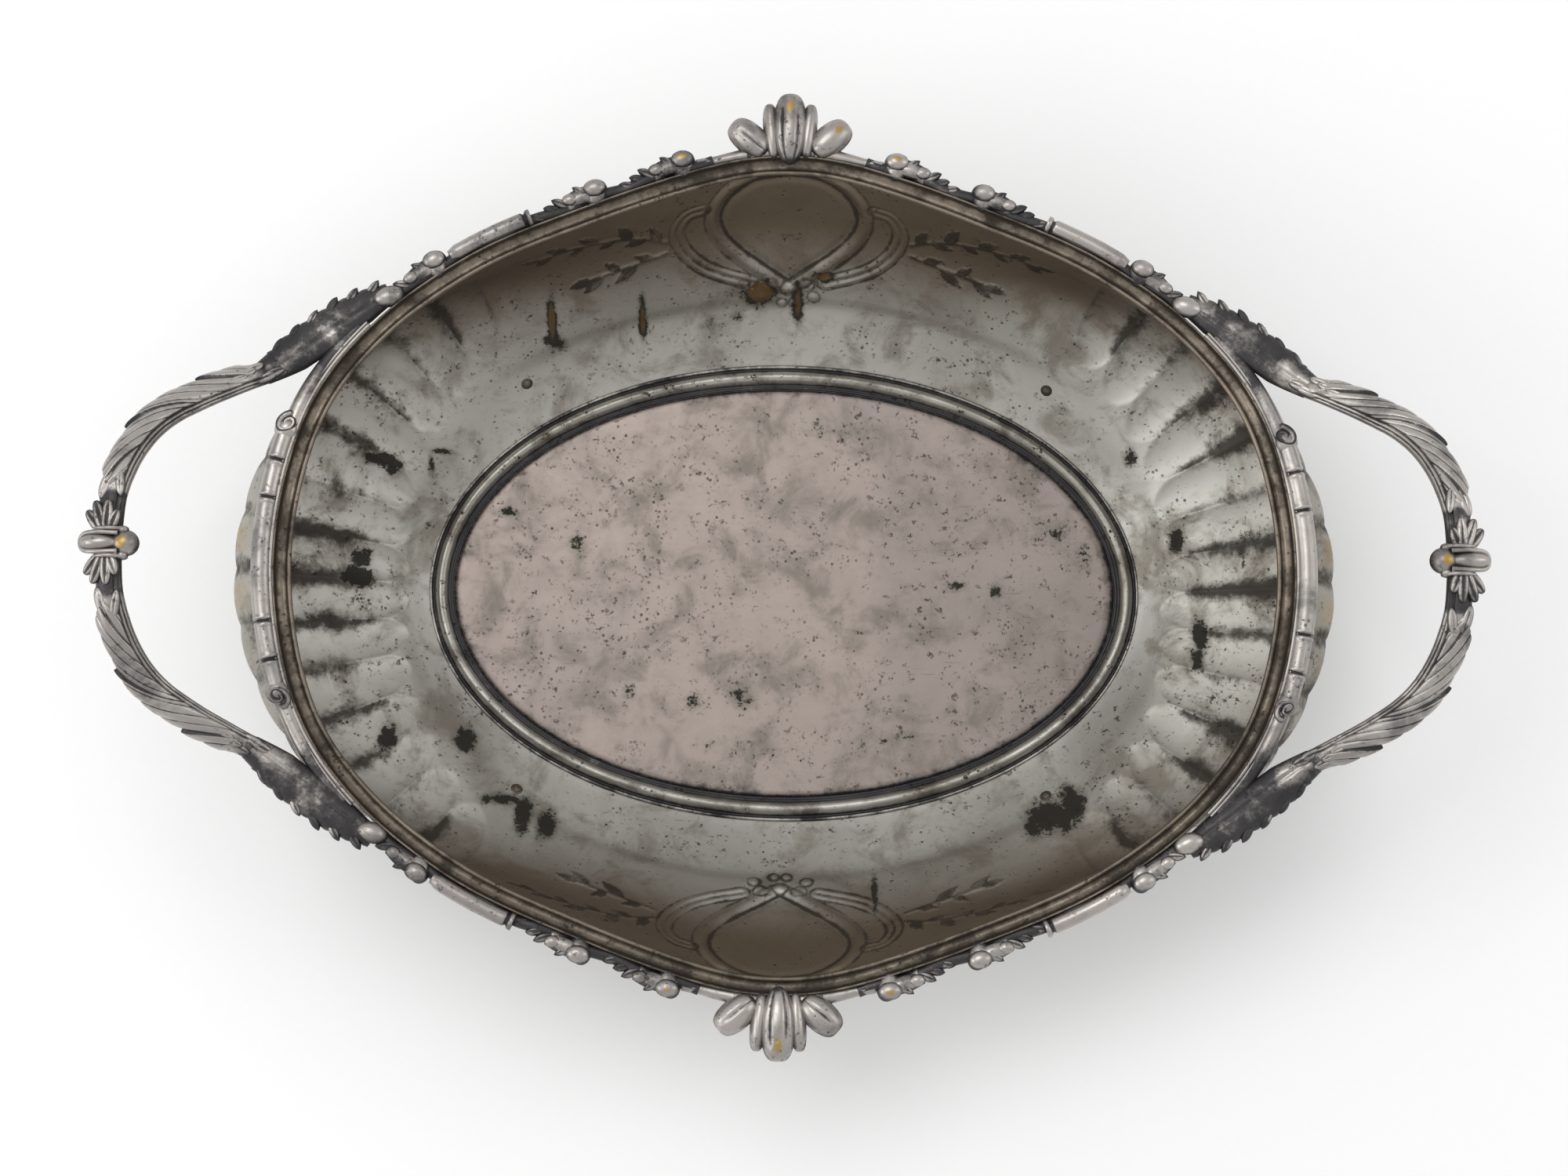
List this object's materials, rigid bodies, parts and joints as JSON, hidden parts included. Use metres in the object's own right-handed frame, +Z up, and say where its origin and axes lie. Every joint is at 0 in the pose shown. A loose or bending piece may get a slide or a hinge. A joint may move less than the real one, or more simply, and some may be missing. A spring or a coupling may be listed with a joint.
{
  "type": "two-handled oval footed tray",
  "caption": "Deep oval two-handled tray on cast scroll feet, in tarnished silver plate, with fluted ends, embossed cartouches and acanthus handles.",
  "frame": {"origin": "centre of the bounding box at the height of the table the feet stand on", "axes": "+X from the left handle to the right handle, +Y to the back crest, +Z up"},
  "size_m": [0.5, 0.3602, 0.1412],
  "materials": {
    "tarnished_sheet": "aged silver plate, brown tarnish on the walls, dark pits and drips",
    "worn_plate": "scratched pinkish-grey plate with stains",
    "dark_moulding": "dark brown-grey tarnish with bright worn edges",
    "cast_silver": "cast and chased, bright on the high places, blue-black in the recesses, brass showing at worn points",
    "cast_feet": "cast, dull grey tarnish"
  },
  "bodies": {
    "root": {"bowl": "tarnished_sheet", "crest_back": "cast_silver", "crest_front": "cast_silver", "end_roll_left": "cast_silver", "end_roll_right": "cast_silver", "flank_border_back_left": "cast_silver", "flank_border_back_right": "cast_silver", "flank_border_front_left": "cast_silver", "flank_border_front_right": "cast_silver", "floor_plate": "worn_plate", "floor_ring": "dark_moulding", "foot_back_left": "cast_feet", "foot_back_right": "cast_feet", "foot_front_left": "cast_feet", "foot_front_right": "cast_feet", "foot_studs": "cast_feet", "handle_arm_back_left": "cast_silver", "handle_arm_back_right": "cast_silver", "handle_arm_front_left": "cast_silver", "handle_arm_front_right": "cast_silver", "handle_bracket_back_left": "cast_silver", "handle_bracket_back_right": "cast_silver", "handle_bracket_front_left": "cast_silver", "handle_bracket_front_right": "cast_silver", "handle_collar_left": "cast_silver", "handle_collar_right": "cast_silver", "rim_band": "dark_moulding"}
  },
  "joints": []
}
